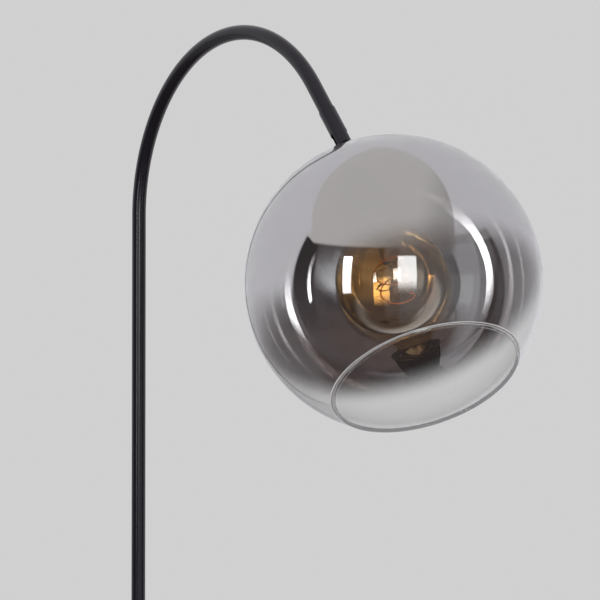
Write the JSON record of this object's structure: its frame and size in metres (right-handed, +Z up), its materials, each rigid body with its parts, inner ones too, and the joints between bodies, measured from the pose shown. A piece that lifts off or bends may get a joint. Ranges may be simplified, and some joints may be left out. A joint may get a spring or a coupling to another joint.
{
  "type": "floor lamp",
  "caption": "Floor lamp with a slim black pole bent over in an arc and a mirrored glass globe shade hung from a swivel and tilt knuckle.",
  "frame": {"origin": "centre of the base's underside, on the floor", "axes": "+Z up, +X from the pole toward the shade, in the plane of the arc; +Y to the left of +X"},
  "size_m": [0.5968, 0.2693, 1.5],
  "materials": {
    "black_paint": "satin powder coat",
    "black_phenolic": "moulded, satin",
    "cast_iron": "as cast, grey primer",
    "rubber_pad": "matt",
    "steel_parts": "zinc plated",
    "brass_parts": "bare",
    "black_nylon": "matt",
    "white_ceramic": "glazed",
    "cable_sheath": "matt",
    "mirror_glass": "polished, smoked mirror film that fades toward the mouth",
    "amber_glass": "polished",
    "clear_glass": "polished",
    "nickel_shell": "nickel plated",
    "black_glass": "fused",
    "filament_coat": "translucent"
  },
  "bodies": {
    "stand": {"base_pad": "rubber_pad", "base_weight": "cast_iron", "base_cover": "black_paint", "cord_gland": "black_nylon", "foot_flange": "black_paint", "base_stud": "steel_parts", "base_nut": "steel_parts", "base_washer": "steel_parts", "pole_lower": "black_paint", "pole_upper": "black_paint", "arc_tube": "black_paint", "tube_bushings": "steel_parts", "joint_nipples": "steel_parts", "mains_cable": "cable_sheath", "end_bushing": "steel_parts"},
    "swivel": {"swivel_stem": "steel_parts", "stem_nut": "steel_parts", "swivel_washer": "black_nylon", "knuckle_fork": "black_paint", "friction_discs": "black_nylon"},
    "head": {"pivot_screws": "black_paint", "knuckle_tongue": "black_paint", "shade_cap": "black_paint", "outer_gasket": "rubber_pad", "inner_gasket": "rubber_pad", "clamp_dish": "steel_parts", "clamp_nut": "steel_parts", "neck_bush": "black_nylon", "neck_nipple": "steel_parts", "glass_shade": "mirror_glass", "holder_dome": "black_phenolic", "holder_core": "white_ceramic", "holder_skirt": "black_phenolic", "socket_shell": "brass_parts", "head_leads": "cable_sheath", "terminal_blocks": "brass_parts", "centre_contact": "brass_parts", "bulb_glass": "amber_glass", "bulb_shell": "nickel_shell", "bulb_insulator": "black_glass", "bulb_tip": "nickel_shell", "bulb_stem": "clear_glass", "filament": "filament_coat", "filament_wires": "steel_parts"}
  },
  "joints": [
    {"name": "arm_swivel", "type": "hinge", "parent": "stand", "child": "swivel", "pos_m": [0.23652, 0, 1.39628], "axis": [0.6225, 0, -0.7826], "range_deg": [-170, 170]},
    {"name": "shade_tilt", "type": "hinge", "parent": "swivel", "child": "head", "pos_m": [0.26018, 0, 1.36654], "axis": [-0.6209, 0.6088, -0.4939], "range_deg": [-52, 38]}
  ]
}
